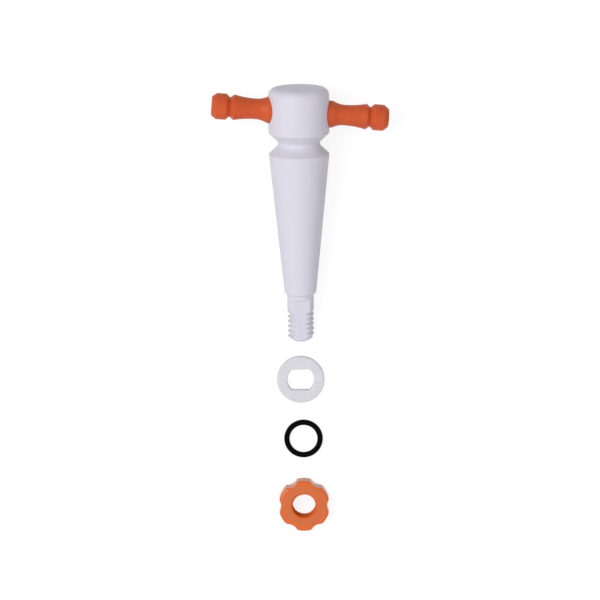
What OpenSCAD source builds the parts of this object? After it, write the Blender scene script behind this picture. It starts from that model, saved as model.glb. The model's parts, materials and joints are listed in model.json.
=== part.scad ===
// Stopcock plug set: a PTFE plug with a cross handle pressed through its head, and the
// loose washer, O-ring and lobed nut that hold the plug in its barrel. Millimetres.
//
// The set lies on a bench in the order in which it goes together. +Z is up, and +Y runs
// from the nut to the plug's head. The origin is under the middle of the set.
// The plug has a frame of its own: Z is its axis, with z = 0 at the cone's big end, the
// head above and the shank below. The handle and the flow bore run along X.

/* [Head] */
// Diameter of the head and of the cone's big end
head_d = 18; // [16:0.1:20]
// Height of the head above its groove
head_h = 13.4; // [12:0.1:18]
// Radius of the round on the head's top edge
head_round = 2.2; // [0.5:0.1:3]
// Diameter at the bottom of the groove under the head
groove_d = 12.4; // [11:0.1:13]
// Radius of the groove's round bottom
groove_round = 1.2; // [0.8:0.1:1.6]
// Angle of the groove's flanks to the plug's axis
groove_flank = 47; // [40:1:55]

/* [Cone] */
// Length of the ground cone that seals in the barrel
cone_l = 42.3; // [36:0.1:50]
// Change of the cone's diameter for each millimetre of its length
cone_taper = 0.2; // [0.18:0.01:0.2]
// Diameter of the flow bore
bore_d = 2; // [1:0.5:4]
// Distance from the cone's big end to the flow bore
bore_at = 22.8; // [15:0.1:28]

/* [Shank] */
// Diameter of the plain shank
shank_d = 8; // [7.9:0.1:8.1]
// Distance from the cone to the tip
shank_l = 15.1; // [14:0.1:24]
// Height of the chamfer between the cone and the shank
shoulder_h = 0.9; // [0.5:0.1:1.2]
// Distance across the shank's two flats
shank_flats = 6.1; // [5:0.1:6.1]
// Distance from the cone to the upper end of the flats
flats_at = 1.8; // [1.2:0.1:3]
// Height of the chamfer at the tip
tip_chamfer = 1.3; // [1:0.1:2.4]
// Diameter of the tip's flat end
tip_face_d = 4.4; // [2:0.1:5]

/* [Thread] */
// Length of the shank's threaded end
thread_l = 9.3; // [8:0.1:12]
// Distance from one turn to the next
thread_pitch = 1.5; // [1.4:0.01:1.6]
// Diameter over the crests of the shank's thread
thread_d = 7.9; // [7.7:0.1:7.9]
// Diameter at the roots of the shank's thread
thread_core_d = 6.6; // [6.4:0.1:6.8]
// Diameter at the roots of the nut's thread
nut_thread_d = 8.3; // [8.2:0.1:8.4]
// Width of a crest
crest_w = 0.24; // [0.1:0.01:0.3]
// Angle from the handle to the point where the shank's thread ends
thread_turn = 199; // [0:1:359]

/* [Handle] */
// Length of the handle from end to end
handle_span = 52.4; // [50:0.1:60]
// Distance from the head's top face to the handle's axis
handle_drop = 7.2; // [6.8:0.1:8]
// Angle by which the handle's hole is off square to the plug's axis
handle_skew = 5.3; // [0:0.1:6]
// Distance by which the handle sits off centre in its hole
handle_shift = 0.4; // [0:0.1:0.5]
// Diameter of the handle inside the head
rod_d = 8; // [7:0.1:8]
// Distance from the handle's middle to the end of that rod
rod_end = 9.6; // [9.1:0.1:10]
// Diameter of the handle's neck
neck_d = 6.1; // [5:0.05:6.4]
// Distance from the handle's middle to its neck
neck_at = 13.2; // [12:0.1:14]
// Diameter of the grip where it meets the ring groove
grip_d = 7.6; // [7:0.05:8]
// Distance from the handle's middle to the end of the grip
grip_end = 19.6; // [18:0.1:20.3]
// Diameter at the bottom of the ring groove
ring_groove_d = 5.7; // [5:0.1:6.4]
// Distance from the handle's middle to the bottom of the ring groove
ring_groove_at = 20.8; // [20.5:0.1:21.2]
// Diameter of the end knob
knob_d = 7.75; // [7.2:0.05:8.5]
// Distance from the handle's middle to the knob's inner edge
knob_at = 21.9; // [21.5:0.1:23]
// Length of the chamfer at the knob's end
knob_chamfer = 1.4; // [0.5:0.1:1.6]
// Diameter of the knob's end face
knob_face_d = 5.6; // [4:0.1:6.5]

/* [Washer] */
// Outer diameter of the washer
washer_d = 14.5; // [13:0.1:18]
// Thickness of the washer
washer_h = 1.8; // [1.4:0.1:2.5]
// Diameter of the round part of the washer's hole
washer_hole_d = 8.2; // [8.2:0.1:8.6]
// Distance across the flats of the washer's hole
washer_flats = 6.25; // [6.1:0.05:6.4]
// Radius of the round on the washer's outer edges
washer_round = 0.5; // [0.2:0.1:0.6]

/* [O-ring] */
// Inner diameter of the O-ring
oring_id = 8.5; // [8.2:0.1:9]
// Thickness of the O-ring's section
oring_section = 1.7; // [1.2:0.1:2]

/* [Nut] */
// Diameter over the nut's lobes
nut_d = 15.9; // [15:0.1:20]
// Height of the nut
nut_h = 5.1; // [4:0.1:8]
// Diameter of the nut's hole, over the crests of its thread
nut_hole_d = 7.1; // [7:0.1:7.5]
// Number of lobes
lobe_count = 6; // [5:1:7]
// Depth of the hollows between the lobes
scallop_depth = 0.9; // [0.5:0.1:1.2]
// Radius of the hollows between the lobes
scallop_r = 3.2; // [2:0.1:4]
// Radius of the lobes' corners
lobe_round = 1; // [0.3:0.1:1.2]
// Chamfer on the nut's edges
nut_chamfer = 0.5; // [0.2:0.1:0.6]

/* [Layout] */
// Turn of the plug about its axis, which lifts the handle's left end
plug_roll = 4; // [0:1:10]
// Gap between the plug's tip and the washer
washer_gap = 5.5; // [1:0.1:20]
// Gap between the washer and the O-ring
oring_gap = 5.4; // [1:0.1:20]
// Gap between the O-ring and the nut
nut_gap = 6.5; // [1:0.1:20]
// Distance of the washer from the plug's line, to the right
washer_x = -0.2; // [-3:0.1:3]
// Distance of the O-ring from the plug's line, to the right
oring_x = 0.5; // [-3:0.1:3]
// Distance of the nut from the plug's line, to the right
nut_x = 0.5; // [-3:0.1:3]

/* [Hidden] */
$fn = 96;

ptfe = "#DEDCE4";
handle_orange = "#D05C3A";
nut_orange = "#E66932";
black = "#141212";
eps = 0.1;

// Radii and heights on the plug's own axis
head_r = head_d / 2;
shank_r = shank_d / 2;
cone_end_r = head_r - cone_l * cone_taper / 2;
groove_r = groove_d / 2;
groove_centre_r = groove_r + groove_round;
flank_r = groove_centre_r - groove_round * cos(groove_flank);
flank_h = groove_round * sin(groove_flank);
groove_half = flank_h + (head_r - flank_r) / tan(groove_flank);
head_bottom = 2 * groove_half;
head_top = head_bottom + head_h;
handle_z = head_top - handle_drop;
shank_top = -cone_l - shoulder_h;
tip_z = -cone_l - shank_l;
thread_top = tip_z + thread_l;

// Screw thread: a flank leans 30 degrees from square to the axis
thread_sides = 24;
flank_slope = tan(30);

// Handle: an arc that rises by dr over the length dx, level at its low end
function arc_radius(dx, dr) = (dx * dx + dr * dr) / (2 * dr);
neck_r = neck_d / 2;
flare_radius = arc_radius(neck_at - rod_end, rod_d / 2 - neck_r);
grip_radius = arc_radius(grip_end - neck_at, grip_d / 2 - neck_r);

// Nut: corner circles touch the outer circle from inside and the hollow from outside
nut_r = nut_d / 2;
scallop_at = nut_r - scallop_depth + scallop_r;
corner_at = nut_r - lobe_round;
corner_turn = acos((pow(corner_at, 2) + pow(scallop_at, 2) - pow(scallop_r + lobe_round, 2))
    / (2 * corner_at * scallop_at));
lobe_turn = 360 / lobe_count;

// Layout: the plug lies on the side of its cone, and the small parts lie flat. A drop is
// the distance from the cone's big end to a piece's middle, along the plug's line. The
// line is off X = 0 by as much as puts the handle's middle there.
lie_tilt = atan(cone_taper / 2);
collar_height = head_r * cos(lie_tilt);
head_reach = (head_top - head_round) * cos(lie_tilt)
    + (head_r - head_round) * sin(lie_tilt) + head_round;
tip_reach = -tip_z * cos(lie_tilt);
washer_drop = tip_reach + washer_gap + washer_d / 2;
oring_drop = washer_drop + washer_d / 2 + oring_gap + oring_id / 2 + oring_section;
nut_drop = oring_drop + oring_id / 2 + oring_section + nut_gap + nut_r;
collar_y = (nut_drop + nut_r - head_reach) / 2;
line_x = -handle_shift;

// Half section of the groove between the head and the cone, with straight flanks
// tangent to its round bottom
module groove_profile() {
    mouth = groove_half + eps / tan(groove_flank);
    translate([0, groove_half]) {
        translate([groove_centre_r, 0]) circle(groove_round);
        polygon([[flank_r, -flank_h], [head_r + eps, -mouth],
            [head_r + eps, mouth], [flank_r, flank_h]]);
    }
}

// What a round of the given radius leaves outside it, at a square corner at the origin
// whose body lies below and to the left
module edge_waste(radius) {
    translate([-radius, -radius]) difference() {
        square(radius + eps);
        circle(radius);
    }
}

// Half section of the plug as it is turned, down to the shank, which is still plain
module plug_profile() {
    difference() {
        polygon([[0, head_top], [head_r, head_top], [head_r, 0], [cone_end_r, -cone_l],
            [shank_r, shank_top], [shank_r, thread_top], [0, thread_top]]);
        translate([head_r, head_top]) edge_waste(head_round);
        groove_profile();
    }
}

// Half section of the threaded end: its blank, a little too wide, with the chamfer at
// the tip
module thread_blank_profile() {
    face_r = tip_face_d / 2;
    wide = shank_r + eps;
    chamfer_top = tip_z + tip_chamfer * (wide - face_r) / (shank_r - face_r);
    polygon([[0, thread_top + eps], [wide, thread_top + eps], [wide, chamfer_top],
        [face_r, tip_z], [0, tip_z]]);
}

// The ridge of a right-hand thread, from z = 0 up through the given turns. Its section is
// a trapezium: crest_w wide at outer_r and wider towards inner_r.
module thread_ridge(inner_r, outer_r, turns) {
    crest = crest_w / 2;
    base = crest + (outer_r - inner_r) * flank_slope;
    section = [[inner_r, -base], [outer_r, -crest], [outer_r, crest], [inner_r, base]];
    steps = ceil(turns * thread_sides);
    points = [for (i = [0:steps], p = section)
        let (a = 360 * i / thread_sides)
        [p[0] * cos(a), p[0] * sin(a), p[1] + thread_pitch * i / thread_sides]];
    sides = [for (i = [0:steps - 1], j = [0:3])
        let (a = 4 * i + j, b = 4 * i + (j + 1) % 4)
        each [[a, b, a + 4], [b, b + 4, a + 4]]];
    ends = [[3, 2, 1, 0], [4 * steps, 4 * steps + 1, 4 * steps + 2, 4 * steps + 3]];
    polyhedron(points, concat(sides, ends), convexity = 10);
}

// The shank's threaded end, still round: the core and its thread, inside the blank
module threaded_end() {
    core_r = thread_core_d / 2;
    ridge_turns = thread_l / thread_pitch + 0.5;
    intersection() {
        rotate_extrude() thread_blank_profile();
        union() {
            translate([0, 0, tip_z]) cylinder(r = core_r, h = thread_l + eps);
            translate([0, 0, tip_z]) rotate([0, 0, thread_turn])
                thread_ridge(core_r - eps, thread_d / 2, ridge_turns);
        }
    }
}

// Two blocks that cut the shank's flats, in line with the handle
module flats_cutters() {
    cut = shank_r;
    for (side = [-1, 1])
        translate([-shank_d, side * (shank_flats + cut) / 2 - cut / 2, tip_z - eps])
            cube([2 * shank_d, cut, shank_l - flats_at + eps]);
}

// Places a piece that is drawn along X on the handle's axis in the head
module on_handle_axis() {
    translate([0, 0, handle_z]) rotate([0, handle_skew, 0]) children();
}

// Lays a piece of the plug on the bench, on the side of the cone
module lay_plug() {
    translate([line_x, collar_y, collar_height]) rotate([lie_tilt - 90, 0, 0])
        rotate([0, 0, plug_roll]) children();
}

// Lays a small part flat on the bench, at its drop and to one side of the plug's line
module lay_flat(side_x, drop) {
    translate([line_x + side_x, collar_y - drop, 0]) children();
}

module plug() {
    color(ptfe) lay_plug() difference() {
        union() {
            rotate_extrude() plug_profile();
            threaded_end();
        }
        flats_cutters();
        on_handle_axis() rotate([0, 90, 0]) cylinder(d = rod_d, h = 2 * head_d, center = true);
        translate([0, 0, -bore_at]) rotate([0, 90, 0])
            cylinder(d = bore_d, h = head_d, center = true);
    }
}

// Half section of one arm, from the middle of the handle out, with the radius along Y.
// Two arcs meet at the neck: a short flare up to the rod, and a long grip.
module arm_profile() {
    difference() {
        square([grip_end, rod_d / 2]);
        translate([neck_at, neck_r]) {
            intersection() {
                translate([0, flare_radius]) circle(flare_radius);
                translate([rod_end - neck_at, 0]) square([neck_at - rod_end, rod_d]);
            }
            intersection() {
                translate([0, grip_radius]) circle(grip_radius);
                square([grip_end, rod_d]);
            }
        }
    }
    polygon([[grip_end - eps, 0], [grip_end - eps, grip_d / 2 - eps], [grip_end, grip_d / 2],
        [ring_groove_at, ring_groove_d / 2], [knob_at, knob_d / 2],
        [handle_span / 2 - knob_chamfer, knob_d / 2], [handle_span / 2, knob_face_d / 2],
        [handle_span / 2, 0]]);
}

module handle() {
    color(handle_orange) lay_plug() on_handle_axis() translate([handle_shift, 0, 0])
        for (side = [0, 1]) mirror([side, 0, 0])
            rotate([0, 90, 0]) rotate_extrude() rotate(90) mirror([0, 1]) arm_profile();
}

module washer() {
    half_flats = washer_flats / 2;
    straight = washer_h - 2 * washer_round;
    rim_r = washer_d / 2 - washer_round;
    color(ptfe) lay_flat(washer_x, washer_drop) difference() {
        rotate_extrude() {
            square([rim_r, washer_h]);
            translate([0, washer_round]) square([washer_d / 2, straight]);
            for (z = [washer_round, washer_h - washer_round])
                translate([rim_r, z]) circle(washer_round);
        }
        intersection() {
            translate([0, 0, -eps]) cylinder(d = washer_hole_d, h = washer_h + 2 * eps);
            translate([-washer_d / 2, -half_flats, -eps])
                cube([washer_d, washer_flats, washer_h + 2 * eps]);
        }
    }
}

module o_ring() {
    color(black) lay_flat(oring_x, oring_drop) translate([0, 0, oring_section / 2])
        rotate_extrude() translate([(oring_id + oring_section) / 2, 0]) circle(d = oring_section);
}

// What a round corner leaves outside it: a block with one edge at the corner's centre,
// less the corner circle. It spans from the outer circle's normal to the hollow's.
module corner_waste() {
    centre = corner_at * [cos(corner_turn), sin(corner_turn)];
    outward = centre / corner_at;
    inward = ([scallop_at, 0] - centre) / (scallop_r + lobe_round);
    reach = 2 * lobe_round;
    translate(centre) difference() {
        polygon([[0, 0], reach * inward, reach * (inward + outward), reach * outward]);
        circle(lobe_round);
    }
}

// Outline of the nut: lobes of the outer circle, round corners and round hollows
module nut_outline() {
    difference() {
        circle(nut_r);
        for (i = [0:lobe_count - 1]) rotate(i * lobe_turn) {
            translate([scallop_at, 0]) circle(scallop_r);
            for (side = [0, 1]) mirror([0, side]) corner_waste();
        }
    }
}

// Half section of the round blank that gives the nut's lobes their chamfers
module nut_blank_profile() {
    polygon([[0, 0], [nut_r - nut_chamfer, 0], [nut_r, nut_chamfer],
        [nut_r, nut_h - nut_chamfer], [nut_r - nut_chamfer, nut_h], [0, nut_h]]);
}

module nut() {
    hole_r = nut_hole_d / 2;
    root_r = nut_thread_d / 2;
    color(nut_orange) lay_flat(nut_x, nut_drop) difference() {
        intersection() {
            linear_extrude(nut_h) nut_outline();
            rotate_extrude() nut_blank_profile();
        }
        translate([0, 0, -eps]) cylinder(r = hole_r, h = nut_h + 2 * eps);
        translate([0, 0, -thread_pitch])
            thread_ridge(hole_r - eps, root_r, nut_h / thread_pitch + 2);
    }
}

plug();
handle();
washer();
o_ring();
nut();
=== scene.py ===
# %% [markdown]
# # A stopcock plug and its fittings
#
# A stopcock is a tap made of a tapered plug that turns in a tapered barrel. This scene
# shows the plug, turned from white PTFE, with the orange cross handle pressed through its
# head. Past its tip lie the parts that hold it in its barrel: a keyed washer, an O-ring
# and a lobed nut.
#
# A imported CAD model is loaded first. It gives every piece its place and the rings their
# sizes, and the profiles here repeat its dimensions in millimetres. Every piece is then
# made again as a finer surface. Each surface is a formula on a grid, worked out with
# numpy, and the formula is where a learner should look first.

# %% Load the model
import json

import bpy
import numpy as np
from mathutils import Matrix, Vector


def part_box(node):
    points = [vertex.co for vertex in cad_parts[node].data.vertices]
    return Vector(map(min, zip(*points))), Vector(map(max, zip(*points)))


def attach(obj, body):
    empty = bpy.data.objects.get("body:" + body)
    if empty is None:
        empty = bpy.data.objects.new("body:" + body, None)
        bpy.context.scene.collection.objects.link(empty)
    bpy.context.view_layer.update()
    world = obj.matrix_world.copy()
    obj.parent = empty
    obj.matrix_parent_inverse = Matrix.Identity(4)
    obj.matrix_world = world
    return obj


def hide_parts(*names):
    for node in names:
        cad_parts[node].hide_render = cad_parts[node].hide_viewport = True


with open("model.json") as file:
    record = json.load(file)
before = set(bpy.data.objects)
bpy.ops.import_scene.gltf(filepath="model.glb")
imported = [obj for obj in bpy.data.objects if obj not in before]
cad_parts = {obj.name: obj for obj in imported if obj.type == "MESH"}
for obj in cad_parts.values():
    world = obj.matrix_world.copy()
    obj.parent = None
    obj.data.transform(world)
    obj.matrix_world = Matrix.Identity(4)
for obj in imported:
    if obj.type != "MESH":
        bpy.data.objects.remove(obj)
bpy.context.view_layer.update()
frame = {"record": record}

MM = 0.001
scene = bpy.context.scene

# %% [markdown]
# ## Two frames
#
# The plug lies on the side of its cone, so its axis is not level. Its shape is far easier
# to write down in a frame of its own, with Z along the axis and z = 0 at the cone's big
# end. The model's record states two interfaces on the plug: the cone, whose direction is
# that axis, and the flow bore, which runs across it. They fix the plug's frame, and one
# function moves points from it to the bench.

# %% The plug's own frame
mounts = {mount["name"]: mount for mount in frame["record"]["mounts"]}
cone_l = 42.3
plug_z = np.array(mounts["barrel_cone"]["axis"])
plug_y = np.cross(plug_z, mounts["flow_bore"]["axis"])
plug_y /= np.linalg.norm(plug_y)
plug_x = np.cross(plug_y, plug_z)
plug_axes = np.column_stack([plug_x, plug_y, plug_z])
plug_origin = np.array(mounts["barrel_cone"]["pos_m"]) / MM + plug_z * cone_l / 2


def lay_plug(points):
    """Moves points from the plug's frame to the bench, in millimetres: each coordinate is
    a distance along one of the plug's three axes, measured from its origin."""
    return points @ plug_axes.T + plug_origin


print("plug axis:", plug_z.round(4), "from", plug_origin.round(2))

# %% [markdown]
# ## Faces of a grid
#
# Every piece here is either a turned body, whose first and last rows close at a point, or
# a ring, whose rows run round a section and join up. In both, the columns run round the
# axis and join up too. One function numbers the faces of such a grid with array sums, so
# there is no loop over points, and the mesh comes out closed.

# %% Faces of a grid


def quads_of(rows, columns, closed):
    """Faces of a grid of points numbered row by row. Each joins a point, the point below,
    its right neighbour and the one above that. If closed, the last row joins the first.
    They face outwards where rows run down the outside and columns run anticlockwise."""
    row = np.arange(rows if closed else rows - 1)[:, None] * columns
    column = np.arange(columns)[None, :]
    right = (column + 1) % columns
    below = (row + columns) % (rows * columns)
    corners = [row + column, below + column, below + right, row + right]
    return np.stack(corners, axis=-1).reshape(-1, 4)


print("3 rows of 4 columns make", len(quads_of(3, 4, closed=False)), "faces")

# %% [markdown]
# ## Turned bodies
#
# A turned body is such a grid with a point of its axis at each end, and fans of triangles
# close it there. Its shading is smooth, apart from edges that turn by more than a set
# angle, so that chamfers and thread crests stay crisp. A mesh that is closed and faces
# outwards has a positive volume, so a short report of the volume tests every piece.

# %% Meshes and a report
sharp_turn = np.radians(38)


def new_piece(name, points, faces):
    """A mesh object from points in millimetres, smooth apart from its sharp edges."""
    mesh = bpy.data.meshes.new(name)
    mesh.from_pydata((points * MM).tolist(), [], faces)
    mesh.shade_smooth()
    mesh.set_sharp_from_angle(angle=sharp_turn)
    piece = bpy.data.objects.new(name, mesh)
    scene.collection.objects.link(piece)
    return piece


def turned_piece(name, grid):
    """A closed body from a grid of rows, columns and x, y, z, whose first and last rows
    are points on its axis. Each end is closed by a fan of triangles round that point."""
    rows, columns = grid.shape[0] - 2, grid.shape[1]
    points = np.vstack([grid[1:-1].reshape(-1, 3), grid[0, :1], grid[-1, :1]])
    here = np.arange(columns)
    after = (here + 1) % columns
    last_row = (rows - 1) * columns
    first_pole = np.full(columns, rows * columns)
    top = np.stack([first_pole, here, after], axis=-1)
    bottom = np.stack([first_pole + 1, last_row + after, last_row + here], axis=-1)
    quads = quads_of(rows, columns, closed=False)
    return new_piece(name, points, quads.tolist() + top.tolist() + bottom.tolist())


def report(piece):
    """Prints a piece's volume, which is a . (b x c) / 6 summed over all triangles abc. It
    is positive only if the faces point outwards."""
    mesh = piece.data
    mesh.calc_loop_triangles()
    corners = np.empty(3 * len(mesh.loop_triangles), dtype=np.int32)
    mesh.loop_triangles.foreach_get("vertices", corners)
    points = np.empty(3 * len(mesh.vertices))
    mesh.vertices.foreach_get("co", points)
    a, b, c = (points.reshape(-1, 3) / MM)[corners.reshape(-1, 3)].transpose(1, 0, 2)
    volume = np.sum(a * np.cross(b, c)) / 6
    print(f"{piece.name}: {volume:.1f} mm3, {len(corners) // 3} triangles")


print(f"edges that turn by more than {np.degrees(sharp_turn):.0f} degrees are sharp")

# %% [markdown]
# ## Profiles
#
# A lathe turns a profile into a body. A profile here is a short list of corners, with true
# arcs where the real one has a radius. A tool or a mould never leaves a perfectly sharp
# corner, so the whole profile is then softened: each point becomes the mean of its
# neighbours within a small reach. Straight and gently curved stretches stay as they are,
# and every corner gets a little round that catches the light.

# %% Profile helpers


def arc(centre, radius, start, stop, count=24):
    """Points on a circle: centre + radius (cos a, sin a), for a from start to stop in
    degrees."""
    angle = np.radians(np.linspace(start, stop, count))
    return np.array(centre) + radius * np.column_stack([np.cos(angle), np.sin(angle)])


def softened(profile, reach, step=0.02):
    """Rounds a profile's corners: evenly spaced points, each replaced by the bell-weighted
    mean of those within reach. The ends are continued by point reflection, so they stay."""
    along = np.append(0, np.cumsum(np.hypot(*np.diff(profile, axis=0).T)))
    even = np.linspace(0, along[-1], int(along[-1] / step))
    dense = np.column_stack([np.interp(even, along, side) for side in profile.T])
    half = int(reach / step)
    weight = np.hanning(2 * half + 3)[1:-1]
    weight /= weight.sum()
    before = 2 * dense[0] - dense[half:0:-1]
    after = 2 * dense[-1] - dense[-2:-half - 2:-1]
    longer = np.vstack([before, dense, after])
    return np.column_stack([np.convolve(side, weight, mode="valid") for side in longer.T])


def spaced(profile, long_step, turn_step=np.radians(9)):
    """Picks rows from a dense profile, at most long_step apart and closer where it bends:
    rows are even along a length that also grows with each turn of the profile."""
    leg = np.diff(profile, axis=0)
    heading = np.unwrap(np.arctan2(leg[:, 1], leg[:, 0]))
    turn = np.append(np.abs(np.diff(heading)), 0)
    longest = np.broadcast_to(long_step, len(profile))[1:]
    count = np.append(0, np.cumsum(np.hypot(*leg.T) / longest + turn / turn_step))
    wanted = np.linspace(0, count[-1], int(np.ceil(count[-1])) + 1)
    return np.column_stack([np.interp(wanted, count, side) for side in profile.T])


print("a quarter round:", arc([0, 0], 1, 90, 0, count=3).round(3).tolist())

# %% [markdown]
# ## The plug's profile
#
# The plug is turned in one piece. From the top, its profile runs over the head and its
# round, in and out of the groove, down the cone, whose diameter falls by 1 mm in every
# 5 mm, and along the shank to the chamfered tip. The cone is ground to fit a glass barrel,
# so it is dead straight.

# %% Plug sizes and profile
cone_taper = 0.2
head_r = 9
head_h = 13.4
head_round = 2.2
groove_r = 6.2
groove_round = 1.2
groove_flank = 47
shank_r = 4
shank_l = 15.1
shoulder_h = 0.9
tip_chamfer = 1.3
tip_face_r = 2.2

cone_end_r = head_r - cone_l * cone_taper / 2
tip_z = -cone_l - shank_l
flank = np.radians(groove_flank)
groove_centre_r = groove_r + groove_round
flank_r = groove_centre_r - groove_round * np.cos(flank)
groove_half = groove_round * np.sin(flank) + (head_r - flank_r) / np.tan(flank)
head_top = 2 * groove_half + head_h

groove = [groove_centre_r, groove_half]
plug_corners = np.vstack([
    [[0, head_top]],
    arc([head_r - head_round, head_top - head_round], head_round, 90, 0),
    [[head_r, 2 * groove_half]],
    arc(groove, groove_round, 180 - groove_flank, 180 + groove_flank),
    [[head_r, 0], [cone_end_r, -cone_l], [shank_r, -cone_l - shoulder_h]],
    [[shank_r, tip_z + tip_chamfer], [tip_face_r, tip_z], [0, tip_z]],
])
plug_profile = softened(plug_corners, reach=0.15)
print(f"head top at {head_top:.2f} mm, tip at {tip_z} mm")

# %% [markdown]
# ## The screw thread
#
# A screw thread is a ridge that climbs by one pitch in each turn. Seen as a surface, its
# radius depends on the height and on the angle: the distance to the nearest ridge along
# the axis gives the height of the ridge there. The flanks lean 30 degrees from square, the
# crest is narrow and flat, and the root is the plain core. The shank and the nut share
# this one function. The nut has the same ridge cut into its hole.
#
# Where a flank meets the root there is a small round. A soft minimum makes it: it takes
# the smaller of two values and rounds the crossing between them. With both signs turned
# it takes the larger one, and that is what the root needs.

# %% Thread formula
thread_pitch = 1.5
thread_flank = 30
crest_w = 0.24
root_soft = 0.08
flank_slope = np.tan(np.radians(thread_flank))


def smaller(a, b, soft):
    """The smaller of two values with a round where they cross: the mean of both, less half
    of the root of their difference squared plus soft squared."""
    return (a + b - np.sqrt((a - b) ** 2 + soft**2)) / 2


def screw_radius(height, angle, low_r, high_r):
    """Radius of a right-hand thread. The distance from the nearest ridge is the height
    less the climb at this angle, folded into half a pitch either way. The radius falls
    from high_r by that distance over the flank's slope, and stays at low_r or above."""
    turns = height / thread_pitch - angle / 360
    away = np.abs(turns - np.round(turns)) * thread_pitch
    ridge = high_r - np.maximum(away - crest_w / 2, 0) / flank_slope
    return -smaller(-ridge, -low_r, root_soft)


print(f"thread: {thread_pitch} mm pitch, {2 * thread_flank} degrees between flanks")

# %% [markdown]
# ## Turning a profile
#
# On a turned grid each row is one point of the profile and each column is one angle. The
# radius may also change with the angle, and so a thread, a flat or a lobe needs no cutting.

# %% Rows and columns


def around(columns):
    """Angles of the columns in degrees: column k of n stands at 360 k / n."""
    return np.arange(columns) * 360 / columns


def spin(radius, height, angle):
    """Grid of points round the Z axis: (radius cos a, radius sin a, height)."""
    radius, height, turn = np.broadcast_arrays(radius, height, np.radians(angle))
    return np.stack([radius * np.cos(turn), radius * np.sin(turn), height], axis=-1)


print("four columns stand at", around(4), "degrees")

# %% [markdown]
# ## The plug's surface
#
# The turned profile gives one radius for each row. Along the shank, the thread and the two
# flats can only take material away, so the radius is the smallest of the three. Past its
# top end, the radius of the thread's surface grows and soon leaves the shank, which is how
# a thread runs out. The flats end at once, because theirs grows very fast. The rows lie
# close together where the thread and the flats are, and wide apart on the cone.

# %% Plug surface
thread_core_r = 3.3
thread_crest_r = 3.95
thread_l = 9.3
thread_turn = 199
thread_run_out = 3
flat_reach = 3.05
flats_drop = 1.8
flats_run_out = 1000
cut_soft = 0.05
fine_step = 0.085
fine_margin = 0.4
wide_step = 0.5
thread_top = tip_z + thread_l
flats_top = -cone_l - flats_drop


def flat_sides(reach, angle):
    """Radius of two flats at a reach either side of the axis: the reach over the sine of
    the angle, as a straight line has in polar form. The sine is kept off zero."""
    return reach / np.maximum(np.abs(np.sin(np.radians(angle))), 0.01)


is_fine = plug_profile[:, 1] < flats_top + fine_margin
plug_rows = spaced(plug_profile, np.where(is_fine, fine_step, wide_step))
angle = around(240)
row_r, row_z = plug_rows[:, :1], plug_rows[:, 1:]

thread = screw_radius(row_z - tip_z, angle - thread_turn, thread_core_r, thread_crest_r)
thread = thread + thread_run_out * np.maximum(row_z - thread_top, 0)
flats = flat_sides(flat_reach, angle)
flats = flats + flats_run_out * np.maximum(row_z - flats_top, 0)
plug_r = smaller(smaller(row_r, thread, cut_soft), flats, cut_soft)
plug_r = np.clip(plug_r, 0, row_r)
plug = turned_piece("plug_body", lay_plug(spin(plug_r, row_z, angle)))
report(plug)

# %% [markdown]
# ## Across the plug
#
# The handle and the flow bore both cross the plug, and the handle's hole leans by about 5
# degrees. Both are round, so each is made upright, as every turned body is, and then laid
# across the plug by one function.

# %% Across the plug
handle_drop = 7.2
handle_z = head_top - handle_drop
handle_lean = np.radians(5.3)
rod_r = 4
bore_r = mounts["flow_bore"]["dims"]["r_mm"]
bore_z = (np.array(mounts["flow_bore"]["pos_m"]) / MM - plug_origin) @ plug_z


def across(points, height, lean=0):
    """Turns points from an axis along Z to one across the plug, at a height and leaning
    down to the right: the coordinates move round by one place, and then X and Z turn."""
    x, y, z = np.moveaxis(np.roll(points, 1, axis=-1), -1, 0)
    leant_x = x * np.cos(lean) + z * np.sin(lean)
    leant_z = z * np.cos(lean) - x * np.sin(lean)
    return np.stack([leant_x, y, leant_z + height], axis=-1)


print(f"handle at {handle_z:.2f} mm, flow bore at {bore_z:.2f} mm, radius {bore_r} mm")

# %% [markdown]
# ## Drilled holes
#
# A grid of rows and columns cannot hold a hole, so a boolean modifier cuts the two. The
# cutter is a rod that flares where it leaves the plug, which gives each hole a small
# broken edge. The plug's surface is nearer at some angles round the rod than at others,
# so the start of the flare is worked out for each angle.

# %% Cut the holes


def cut_out(piece, cutter):
    """Takes a cutter's body out of a piece and removes the cutter. The result comes with
    an empty material slot, which would stand before the real one, so it is cleared."""
    cut = piece.modifiers.new("cut", "BOOLEAN")
    cut.object = cutter
    cut.solver = "MANIFOLD"
    evaluated = piece.evaluated_get(bpy.context.evaluated_depsgraph_get())
    mesh = bpy.data.meshes.new_from_object(evaluated)
    mesh.materials.clear()
    piece.modifiers.clear()
    piece.data = mesh
    mesh.set_sharp_from_angle(angle=sharp_turn)
    bpy.data.objects.remove(cutter)


def drill(piece, hole_r, height, lean=0, edge=0.2, spare=1):
    """Cuts a hole across the plug with broken edges. At a sideways distance y from the
    axis the plug's surface is at the root of its radius squared less y squared. From the
    edge's depth inside it, the cutter widens by as much as it goes on."""
    turn = around(96)
    y, rise = hole_r * np.cos(np.radians(turn)), hole_r * np.sin(np.radians(turn))
    plug_radius = np.minimum(head_r, head_r + (height + rise) * cone_taper / 2)
    surface = np.sqrt(plug_radius**2 - y**2)
    ends = np.stack([surface, -surface]) - rise * np.sin(lean)
    right, left = ends / np.cos(lean)
    right_end, left_end = right + spare, left - spare
    along = np.stack([right_end, right_end, right - edge, left + edge, left_end, left_end])
    wide = hole_r + edge + spare
    radius = np.array([0, wide, hole_r, hole_r, wide, 0])[:, None]
    rod = across(spin(radius, along, turn), height, lean)
    cut_out(piece, turned_piece("cutter", lay_plug(rod)))


drill(plug, rod_r, handle_z, handle_lean)
drill(plug, bore_r, bore_z)
report(plug)

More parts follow.
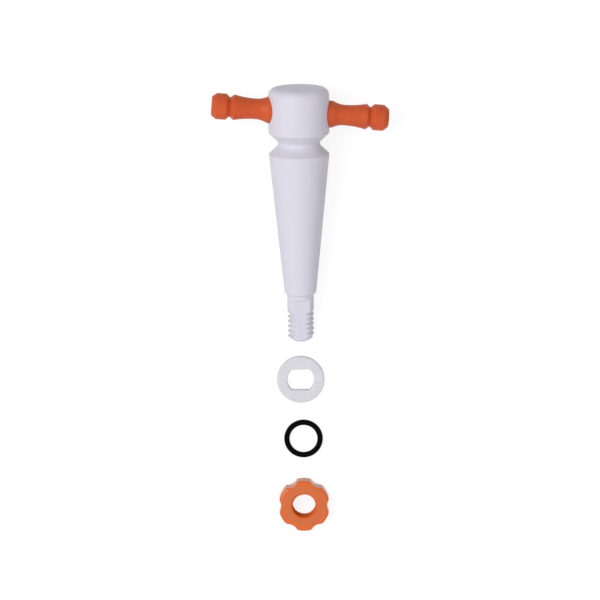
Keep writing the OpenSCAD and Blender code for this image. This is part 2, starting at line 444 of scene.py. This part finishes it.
# %% [markdown]
# ## The handle
#
# The cross handle is one moulded piece, round all along. From the head outwards, each arm
# flares in to a neck, widens again as a grip, has a ring groove and ends in a knob with a
# chamfer. The flare and the grip are circle arcs that both leave the neck level, so they
# meet without a kink. Half the profile is written down, and the other half is its mirror.

# %% Handle
handle_shift = 0.4
rod_end = [rod_r, 9.6]
neck = [3.05, 13.2]
grip_end = [3.8, 19.6]
ring_groove = [2.85, 20.8]
knob_start = [3.875, 21.9]
knob_end = [3.875, 24.8]
arm_face_r = 2.8
arm_l = 26.2


def level_arc(low, high, count=24):
    """Points (radius, distance) of the arc that is level at its low end. The circle's
    radius R is the squared distance between the ends over twice their rise, and at x from
    the low end the arc has risen by R less the root of R squared less x squared."""
    rise, run = np.subtract(high, low)
    circle_r = (rise**2 + run**2) / (2 * rise)
    x = np.linspace(0, run, count)
    return np.column_stack([low[0] + circle_r - np.sqrt(circle_r**2 - x**2), low[1] + x])


arm = np.vstack([
    [[rod_r, 0]],
    level_arc(neck, rod_end)[::-1],
    level_arc(neck, grip_end)[1:],
    [ring_groove, knob_start, knob_end, [arm_face_r, arm_l], [0, arm_l]],
])
whole_handle = np.vstack([arm[::-1], (arm * [1, -1])[1:]])
handle_rows = spaced(softened(whole_handle, reach=0.25), long_step=0.4)
handle_rows[:, 1] += handle_shift
bar = spin(handle_rows[:, :1], handle_rows[:, 1:], around(144))
handle = turned_piece("cross_handle", lay_plug(across(bar, handle_z, handle_lean)))
report(handle)

# %% [markdown]
# ## The section of a flat ring
#
# The washer and the nut are both flat rings with a wall inside and a wall outside. Rows
# run round the section: up the inner wall, over the top, down the outer wall and back
# under. Each row says how far it is across the ring, from 0 at the hole to 1 at the rim,
# and how far its edge round pulls it in from the wall.

# %% Ring section


def ring_section(height, inner_edge, outer_edge, wall_rows, face_rows=9, round_rows=5):
    """Rows round a flat ring's section, as columns of share across, inset from the inner
    wall, inset from the outer wall and height. An edge of radius e has an inset of
    e - e cos a and a height of e sin a. The lower half is the upper one, mirrored."""
    quarter = np.radians(np.linspace(0, 90, round_rows))
    bend, lift = 1 - np.cos(quarter), np.sin(quarter)
    wall, corner, face = np.zeros(wall_rows), np.zeros(round_rows), np.zeros(face_rows)
    inner_z = np.linspace(height / 2, height - inner_edge, wall_rows, endpoint=False)
    outer_z = np.linspace(height / 2, height - outer_edge, wall_rows, endpoint=False)
    across_face = np.linspace(0, 1, face_rows + 2)[1:-1]
    share = np.concatenate([wall, corner, across_face, corner + 1, wall + 1])
    inner = inner_edge * np.concatenate([wall, bend, face + 1, corner + 1, wall + 1])
    outer = outer_edge * np.concatenate([wall + 1, corner + 1, face + 1, bend[::-1], wall])
    inner_round_z = height - inner_edge * (1 - lift)
    outer_round_z = height - outer_edge * (1 - lift[::-1])
    z = np.concatenate([inner_z, inner_round_z, face + height, outer_round_z, outer_z[::-1]])
    upper = np.column_stack([share, inner, outer, z])
    lower = upper[::-1][1:-1] * [1, 1, 1, -1] + [0, 0, 0, height]
    return np.vstack([upper, lower]).T[:, :, None]


print("rows round a section:", ring_section(1, 0.1, 0.1, wall_rows=3).shape[1])

# %% [markdown]
# ## Flat rings
#
# A section becomes a ring when it is carried round the axis between a hole and a rim. Both
# outlines can be anything that has one radius at each angle, and so one function makes the
# round washer and the lobed nut. The CAD model gives each ring's place, outer radius and
# height.

# %% Ring helpers


def flat_ring(section, hole, rim, angle, centre):
    """Grid of a flat ring: the radius goes from the hole's to the rim's by the share."""
    share, inner_inset, outer_inset, height = section
    radius = (1 - share) * (hole + inner_inset) + share * (rim - outer_inset)
    return spin(radius, height, angle) + centre


def ring_piece(name, grid):
    """A closed ring from a grid whose rows run round its section."""
    quads = quads_of(grid.shape[0], grid.shape[1], closed=True)
    return new_piece(name, grid.reshape(-1, 3), quads.tolist())


def place_of(node):
    """Centre on the bench, outer radius and height of a node, in millimetres: the middle
    of its box, half the box along Y, and the box along Z."""
    low, high = (np.array(corner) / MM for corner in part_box(node))
    middle = (low + high) / 2
    return np.array([middle[0], middle[1], 0]), (high[1] - low[1]) / 2, high[2] - low[2]


washer_centre, washer_r, washer_h = place_of("washer")
oring_centre, oring_r, oring_h = place_of("o_ring")
nut_centre, nut_r, nut_h = place_of("nut")
print(f"radii in mm: washer {washer_r:.2f}, O-ring {oring_r:.2f}, nut {nut_r:.2f}")

# %% [markdown]
# ## The washer
#
# The washer is cut from PTFE rod. Its hole has two flats that match those on the shank, so
# it turns with the plug and keeps the nut from creeping. The hole's outline is whichever
# is smaller at each angle: the circle or the two straight flats.

# %% Washer
key_r = 4.1
key_reach = 3.125
key_soft = 0.04
angle = around(288)
key_hole = smaller(key_r, flat_sides(key_reach, angle), key_soft)
section = ring_section(washer_h, inner_edge=0.4, outer_edge=0.5, wall_rows=3)
washer_grid = flat_ring(section, key_hole, washer_r, angle, washer_centre)
washer = ring_piece("keyed_washer", washer_grid)
report(washer)

# %% [markdown]
# ## The O-ring
#
# An O-ring is a torus: a small circle carried round a large one. Its section is as thick
# as the ring is high.

# %% O-ring
section_r = oring_h / 2
section_turn = np.radians(90 - around(36))[:, None]
ring_r = oring_r - section_r + section_r * np.cos(section_turn)
ring_z = section_r + section_r * np.sin(section_turn)
o_ring = ring_piece("rubber_o_ring", spin(ring_r, ring_z, around(160)) + oring_centre)
report(o_ring)

# %% [markdown]
# ## The nut
#
# Fingers turn this nut, so its rim has six lobes with round hollows between them. Seen
# from the middle, the rim is made of three kinds of circle: the hollow, the lobe's round
# corner and the outer circle. Each gives a radius at each angle by the rule for a circle
# whose centre is off the middle, and the tangent points say which one counts.

# %% Nut rim
lobe_turn = 60
hollow_r = 3.2
hollow_depth = 0.9
corner_r = 1
hollow_at = nut_r - hollow_depth + hollow_r
corner_at = nut_r - corner_r


def circle_from(off, centre_at, radius, side):
    """Distance to a circle whose centre is centre_at away, along a ray that is off by an
    angle: c cos a, plus or minus the root of the radius squared less (c sin a) squared."""
    inside = np.maximum(radius**2 - (centre_at * np.sin(off)) ** 2, 0)
    return centre_at * np.cos(off) + side * np.sqrt(inside)


angle = around(360)
off = np.radians(np.abs((angle + lobe_turn / 2) % lobe_turn - lobe_turn / 2))
both = hollow_r + corner_r
corner_turn = np.arccos((corner_at**2 + hollow_at**2 - both**2) / (2 * corner_at * hollow_at))
corner = corner_at * np.array([np.cos(corner_turn), np.sin(corner_turn)])
touch = corner + (np.array([hollow_at, 0]) - corner) * corner_r / both
in_hollow = off < np.arctan2(touch[1], touch[0])
hollow_rim = circle_from(off, hollow_at, hollow_r, -1)
corner_rim = circle_from(off - corner_turn, corner_at, corner_r, 1)
rim = np.select([in_hollow, off < corner_turn], [hollow_rim, corner_rim], default=nut_r)
print(f"rim from {rim.min():.2f} to {rim.max():.2f} mm")

# %% [markdown]
# ## The nut's thread
#
# The same thread formula now gives the hole. Its groove is a little larger than the
# shank's ridge, so the nut runs freely. The lobes are chamfered on both faces.

# %% Nut
nut_crest_r = 3.55
nut_root_r = 4.15
lobe_chamfer = 0.5
chamfer_soft = 0.1
section = ring_section(nut_h, inner_edge=0.1, outer_edge=0.3, wall_rows=34)
depth = np.minimum(section[3], nut_h - section[3])
hole = screw_radius(section[3], angle, nut_crest_r, nut_root_r)
chamfered = smaller(rim, nut_r - np.maximum(lobe_chamfer - depth, 0), chamfer_soft)
nut_grid = flat_ring(section, hole, chamfered, angle, nut_centre)
nut = ring_piece("lobed_nut", nut_grid)
report(nut)

# %% [markdown]
# ## Riding on the frame
#
# Each new piece stands for one piece of the CAD model. All of them lie still on the bench,
# so they ride on the model's single body.

# %% Stand in for the model
made_for = {
    "plug": (plug, "ptfe"),
    "handle": (handle, "handle_plastic"),
    "washer": (washer, "ptfe"),
    "o_ring": (o_ring, "o_ring_rubber"),
    "nut": (nut, "nut_plastic"),
}
for node, (piece, slot) in made_for.items():
    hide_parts(node)
    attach(piece, "root")
print("pieces:", [piece.name for piece, slot in made_for.values()])

# %% [markdown]
# ## Node helpers
#
# Colours are written as sRGB hex, as a colour picker shows them, and a shader wants them
# linear. One function adds any node, sets it up and links what flows into it.

# %% Node helpers


def linear(colour):
    """Linear RGBA from sRGB hex: c / 12.92 up to 0.04045, ((c + 0.055) / 1.055) ^ 2.4
    above that."""
    c = np.array([int(colour[i:i + 2], 16) for i in (1, 3, 5)]) / 255
    return [*np.where(c <= 0.04045, c / 12.92, ((c + 0.055) / 1.055) ** 2.4), 1]


def add_node(tree, kind, inputs=None, **settings):
    """Adds a node with its settings. Each input is a value or the socket to link there."""
    node = tree.nodes.new("ShaderNode" + kind)
    for name, value in settings.items():
        setattr(node, name, value)
    for name, value in (inputs or {}).items():
        if isinstance(value, bpy.types.NodeSocket):
            tree.links.new(value, node.inputs[name])
        else:
            node.inputs[name].default_value = value
    return node


def new_material(name):
    """An empty material and its node tree."""
    material = bpy.data.materials.new(name)
    material.use_nodes = True
    material.node_tree.nodes.clear()
    return material, material.node_tree


print(f"the mid grey #808080 is {linear('#808080')[0]:.3f} in linear light")

# %% [markdown]
# ## Coordinates for the patterns
#
# A pattern is easiest to size in millimetres, so that a scale of 4 means four grains to
# the millimetre. Object coordinates are in metres, and every piece has its object at the
# bench's origin. One Mapping node turns them into millimetres from a chosen centre, along
# chosen axes. A lathe's marks are the same all round its axis, so their patterns use the
# distance from that axis.

# %% Pattern coordinates


def in_millimetres(tree, centre=(0, 0, 0), axes=np.eye(3)):
    """Socket of the Object coordinates, in millimetres from a centre along the columns of
    axes."""
    place = add_node(tree, "TexCoord").outputs["Object"]
    mapping = add_node(
        tree, "Mapping",
        {
            "Vector": place,
            "Location": np.array(centre) * MM,
            "Rotation": Matrix(axes).to_euler(),
            "Scale": [MM] * 3,
        },
        vector_type="TEXTURE",
    )
    return mapping.outputs["Vector"]


def from_axis(tree, local):
    """Socket of the distance from the local Z axis: the length of local X and Y."""
    flat = add_node(tree, "Mapping", {"Vector": local, "Scale": [1, 1, 0]})
    length = add_node(tree, "VectorMath", {0: flat.outputs["Vector"]}, operation="LENGTH")
    return length.outputs["Value"]


turned_by = np.degrees(Matrix(plug_axes).to_euler())
print("the plug's patterns are turned by", turned_by.round(1), "degrees")

# %% [markdown]
# ## Turned PTFE
#
# PTFE is a waxy, milky white plastic. A little of the light goes a millimetre or so into
# it and comes out again, which softens its shading, and its refractive index of 1.35 is
# low, so its gloss is faint. A lathe leaves fine rings round its axis. A real feed mark is
# about 0.1 mm wide. The rings here are drawn a few times coarser, so that they show at
# all, and very shallow. They are noise along the axis, with the distance from the axis
# mixed in, so that end faces get rings too.

# %% PTFE


def turned_ptfe(name, deep, light, centre, axes):
    """PTFE that drifts between two shades of white. It is turned about the last of the
    axes, through the centre, in millimetres."""
    material, tree = new_material(name)
    local = in_millimetres(tree, centre, axes)
    height = add_node(tree, "SeparateXYZ", {"Vector": local}).outputs["Z"]
    along = add_node(
        tree, "Math", {0: from_axis(tree, local), 1: 0.5, 2: height}, operation="MULTIPLY_ADD"
    )
    rings = add_node(
        tree, "TexNoise",
        {"W": along.outputs[0], "Scale": 2.2, "Detail": 3, "Roughness": 0.7},
        noise_dimensions="1D",
    ).outputs["Fac"]
    ring_bump = add_node(
        tree, "Bump", {"Height": rings, "Strength": 0.25, "Distance": 0.03 * MM}
    )
    cloud = add_node(tree, "TexNoise", {"Vector": local, "Scale": 0.35, "Detail": 2})
    white = add_node(
        tree, "Mix",
        {"Factor": cloud.outputs["Fac"], "A": linear(deep), "B": linear(light)},
        data_type="RGBA",
    )
    smear = add_node(tree, "MapRange", {"Value": rings, "To Min": 0.42, "To Max": 0.52})
    shader = add_node(
        tree, "BsdfPrincipled",
        {
            "Base Color": white.outputs["Result"],
            "Roughness": smear.outputs["Result"],
            "IOR": 1.35,
            "Subsurface Weight": 0.08,
            "Subsurface Radius": [1.0, 0.95, 0.9],
            "Subsurface Scale": 1.2 * MM,
            "Normal": ring_bump.outputs["Normal"],
        },
    )
    add_node(tree, "OutputMaterial", {"Surface": shader.outputs["BSDF"]})
    return material


plug_ptfe = turned_ptfe("PTFE, turned", "#D5D3DE", "#DCDAE5", plug_origin, plug_axes)
washer_ptfe = turned_ptfe(
    "PTFE washer, turned", "#CFCED4", "#E0DFE4", washer_centre, np.eye(3)
)
plug.data.materials.append(plug_ptfe)
washer.data.materials.append(washer_ptfe)
print("made", plug_ptfe.name, "and", washer_ptfe.name)

# %% [markdown]
# ## Moulded polypropylene
#
# The handle and the nut are moulded from orange polypropylene. The steel mould is lightly
# blasted, so the skin is satin: its gloss is broken up by a grain of about 0.2 mm. The
# pigment is not mixed perfectly, and the colour drifts a little over a few millimetres.
# The refractive index is 1.49. The nut keeps the full gloss that this gives, and the
# handle's is set low, because its skin stays dull right up to its edges.
#
# One function makes both, and a piece may add its own changes to the colour and the roughness,
# such as the nut's painted highlight.

# %% Polypropylene


def moulded_polypropylene(
    name, deep, light, roughness, gloss_level, centre=(0, 0, 0), marks=None
):
    """Satin polypropylene that drifts between two shades and between two roughnesses.
    Marks is a function that changes both round the given centre, in millimetres."""
    material, tree = new_material(name)
    local = in_millimetres(tree, centre)
    drift = add_node(
        tree, "TexNoise", {"Vector": local, "Scale": 0.3, "Detail": 3, "Roughness": 0.6}
    ).outputs["Fac"]
    shade = add_node(
        tree, "Mix", {"Factor": drift, "A": linear(deep), "B": linear(light)}, data_type="RGBA"
    ).outputs["Result"]
    gloss = add_node(
        tree, "MapRange",
        {"Value": drift, "To Min": roughness - 0.05, "To Max": roughness + 0.05},
    ).outputs["Result"]
    if marks:
        shade, gloss = marks(tree, local, shade, gloss)
    grain = add_node(tree, "TexNoise", {"Vector": local, "Scale": 4, "Detail": 3})
    skin = add_node(
        tree, "Bump", {"Height": grain.outputs["Fac"], "Strength": 0.3, "Distance": 0.02 * MM}
    )
    shader = add_node(
        tree, "BsdfPrincipled",
        {
            "Base Color": shade,
            "Roughness": gloss,
            "IOR": 1.49,
            "Specular IOR Level": gloss_level,
            "Normal": skin.outputs["Normal"],
        },
    )
    add_node(tree, "OutputMaterial", {"Surface": shader.outputs["BSDF"]})
    return material


handle_plastic = moulded_polypropylene(
    "Polypropylene handle, moulded", "#C6502A", "#D96238", roughness=0.26, gloss_level=0.12
)
handle.data.materials.append(handle_plastic)
print("made", handle_plastic.name)

# %% [markdown]
# ## A highlight ring and a cut thread on the nut
#
# The nut's face gets a painted highlight: a faint ring of paler, greyer orange round the
# hole, where a soft white sheen lies on the face. Its thread was cut after moulding,
# which tears the skin and leaves it dull. Both depend only on the distance from the nut's
# axis.

# %% Nut highlight ring and thread
# Painted highlight: a ring of paler, greyer orange round the hole stands for a soft white
# sheen on the nut's face.
highlight_ring_r = 5.2
highlight_ring_core = 0.3
highlight_ring_reach = 1.3
highlight_ring_strength = 0.55
cut_roughness = 0.9
cut_margin = 0.15


def nut_highlight_and_cut(tree, local, shade, gloss):
    """Adds the nut's painted highlight ring to a shade and its dull cut thread to a
    roughness, and returns both. The painted highlight fades with the distance from its
    own circle, and the cut thread ends at its root."""
    radius = from_axis(tree, local)
    offset = add_node(tree, "Math", {0: radius, 1: highlight_ring_r}, operation="SUBTRACT")
    distance = add_node(tree, "Math", {0: offset.outputs[0]}, operation="ABSOLUTE")
    strength = add_node(
        tree, "MapRange",
        {
            "Value": distance.outputs[0],
            "From Min": highlight_ring_core,
            "From Max": highlight_ring_reach,
            "To Min": highlight_ring_strength,
            "To Max": 0,
        },
    )
    # Painted highlight: the shade is mixed towards a paler, greyer orange on the ring.
    painted_highlight = add_node(
        tree, "Mix",
        {"Factor": strength.outputs["Result"], "A": shade, "B": linear("#C66C40")},
        data_type="RGBA",
    )
    cut = add_node(
        tree, "MapRange",
        {
            "Value": radius,
            "From Min": nut_root_r,
            "From Max": nut_root_r + cut_margin,
            "To Min": cut_roughness,
            "To Max": gloss,
        },
    )
    return painted_highlight.outputs["Result"], cut.outputs["Result"]


nut_plastic = moulded_polypropylene(
    "Polypropylene nut, moulded", "#D45B14", "#E86F26", roughness=0.2, gloss_level=0.5,
    centre=nut_centre, marks=nut_highlight_and_cut,
)
nut.data.materials.append(nut_plastic)
print("made", nut_plastic.name)

# %% [markdown]
# ## Black rubber
#
# The O-ring is moulded from black rubber. Carbon black makes it almost as dark as a
# surface can be, and a little talc and bloom leave its sheen dull and uneven. Its gloss is
# set close to nothing, so that it stays black all the way round.

# %% Rubber
rubber, tree = new_material("Rubber, moulded black")
local = in_millimetres(tree)
bloom = add_node(tree, "TexNoise", {"Vector": local, "Scale": 1.2, "Detail": 4}).outputs["Fac"]
black = add_node(
    tree, "Mix",
    {"Factor": bloom, "A": linear("#040303"), "B": linear("#0A0808")},
    data_type="RGBA",
)
dull = add_node(tree, "MapRange", {"Value": bloom, "To Min": 0.5, "To Max": 0.68})
pores = add_node(tree, "TexNoise", {"Vector": local, "Scale": 6, "Detail": 2})
skin = add_node(
    tree, "Bump", {"Height": pores.outputs["Fac"], "Strength": 0.3, "Distance": 0.015 * MM}
)
shader = add_node(
    tree, "BsdfPrincipled",
    {
        "Base Color": black.outputs["Result"],
        "Roughness": dull.outputs["Result"],
        "IOR": 1.5,
        "Specular IOR Level": 0.03,
        "Normal": skin.outputs["Normal"],
    },
)
add_node(tree, "OutputMaterial", {"Surface": shader.outputs["BSDF"]})
o_ring.data.materials.append(rubber)
print("made", rubber.name)

# %% [markdown]
# ## Camera
#
# The set is seen from almost straight above, from a little towards the plug's head. The
# camera stands off by more than four times the set's length, so the view is nearly
# parallel. It is rolled by half a degree, as a hand-set camera is.

# %% Camera
view_distance = 600 * MM
view_angle = np.radians(17.32)
view_tilt = np.radians(9.2)
view_roll = np.radians(0.557)
aim = np.array([-0.57, 2.84, 0]) * MM

back = np.array([0, np.sin(view_tilt), np.cos(view_tilt)])
level = np.array([1, 0, 0])
upright = np.cross(back, level)
right = level * np.cos(view_roll) - upright * np.sin(view_roll)
up = np.cross(back, right)
camera_data = bpy.data.cameras.new("camera")
camera_data.angle = view_angle
camera = bpy.data.objects.new("camera", camera_data)
stand = np.eye(4)
stand[:3, :3] = np.column_stack([right, up, back])
stand[:3, 3] = aim + back * view_distance
camera.matrix_world = Matrix(stand)
scene.collection.objects.link(camera)
scene.camera = camera
print("camera at", (stand[:3, 3] / MM).round(1), "mm")

# %% [markdown]
# ## Bench
#
# The bench is a plain pale sheet. What the camera sees of it, straight or in a gloss, is
# mostly a steady white, and a small share is the real sheet, which keeps the soft shadows.
# Its size is in metres, and so are the lamp's size and place further on.

# %% Bench
bench_size = 4.0


def seen_directly(tree):
    """Socket that is 1 for what the camera sees, straight, in a gloss or through a body:
    the largest of three kinds of ray."""
    path = add_node(tree, "LightPath")
    seen = path.outputs["Is Camera Ray"]
    for kind in ("Is Glossy Ray", "Is Transmission Ray"):
        larger = add_node(tree, "Math", {0: seen, 1: path.outputs[kind]}, operation="MAXIMUM")
        seen = larger.outputs[0]
    return seen


bench_mesh = bpy.data.meshes.new("bench")
corners = np.array([[-1, -1, 0], [1, -1, 0], [1, 1, 0], [-1, 1, 0]]) * bench_size / 2
bench_mesh.from_pydata(corners.tolist(), [], [[0, 1, 2, 3]])
bench = bpy.data.objects.new("bench", bench_mesh)
scene.collection.objects.link(bench)

sheet, tree = new_material("Card, pale matt")
card = add_node(tree, "BsdfDiffuse", {"Color": linear("#C8C8C8")})
steady = add_node(tree, "Emission", {"Color": linear("#FFFFFF"), "Strength": 0.84})
shaded = add_node(tree, "BsdfDiffuse", {"Color": linear("#808080")})
shown = add_node(tree, "AddShader", {0: steady.outputs[0], 1: shaded.outputs[0]})
mixed = add_node(
    tree, "MixShader", {0: seen_directly(tree), 1: card.outputs[0], 2: shown.outputs[0]}
)
add_node(tree, "OutputMaterial", {"Surface": mixed.outputs[0]})
bench_mesh.materials.append(sheet)
print(f"bench of {bench_size} m, {sheet.name}")

# %% [markdown]
# ## Lamp
#
# Most of the shading comes from one soft lamp, high on the left. It is a wide disk aimed
# at the middle of the set, and its width gives the shadows their soft edges.

# %% Lamp
lamp_data = bpy.data.lights.new("soft_lamp", "AREA")
lamp_data.shape = "DISK"
lamp_data.size = 0.7
lamp_data.energy = 4.6
lamp = bpy.data.objects.new("soft_lamp", lamp_data)
lamp.location = (-0.54, 0.20, 0.85)
lamp.rotation_euler = lamp.location.to_track_quat("Z", "Y").to_euler()
scene.collection.objects.link(lamp)
print(f"lamp at {lamp.location.length:.2f} m")

# %% [markdown]
# ## Room
#
# The rest of the light is a pale room. It is dim low down at its far end, which the head's
# end face looks at, so that this face stands out from the head's side. Past the bench, the
# camera sees plain white.

# %% Room
room_strength = 0.82
room = bpy.data.worlds.new("room")
room.use_nodes = True
room.node_tree.nodes.clear()
tree = room.node_tree
direction = add_node(tree, "TexCoord").outputs["Generated"]
toward = add_node(tree, "SeparateXYZ", {"Vector": direction})
far = add_node(
    tree, "MapRange",
    {"Value": toward.outputs["Y"], "From Min": 0.05, "From Max": 0.55},
    interpolation_type="SMOOTHSTEP",
)
low = add_node(
    tree, "MapRange",
    {
        "Value": toward.outputs["Z"],
        "From Min": 0.25,
        "From Max": 0.75,
        "To Min": 1,
        "To Max": 0,
    },
    interpolation_type="SMOOTHSTEP",
)
dim_end = add_node(
    tree, "Math", {0: far.outputs["Result"], 1: low.outputs["Result"]}, operation="MULTIPLY"
)
brightness = add_node(
    tree, "MapRange", {"Value": dim_end.outputs[0], "To Min": room_strength, "To Max": 0}
)
soft = add_node(
    tree, "Background", {"Color": linear("#F4F3F6"), "Strength": brightness.outputs["Result"]}
)
white = add_node(tree, "Background", {"Color": linear("#FFFFFF"), "Strength": 1.0})
mixed = add_node(
    tree, "MixShader", {0: seen_directly(tree), 1: soft.outputs[0], 2: white.outputs[0]}
)
add_node(tree, "OutputWorld", {"Surface": mixed.outputs[0]})
scene.world = room
scene.view_settings.view_transform = "Standard"
print(f"room of strength {room_strength}, falling to 0 low down at its far end")
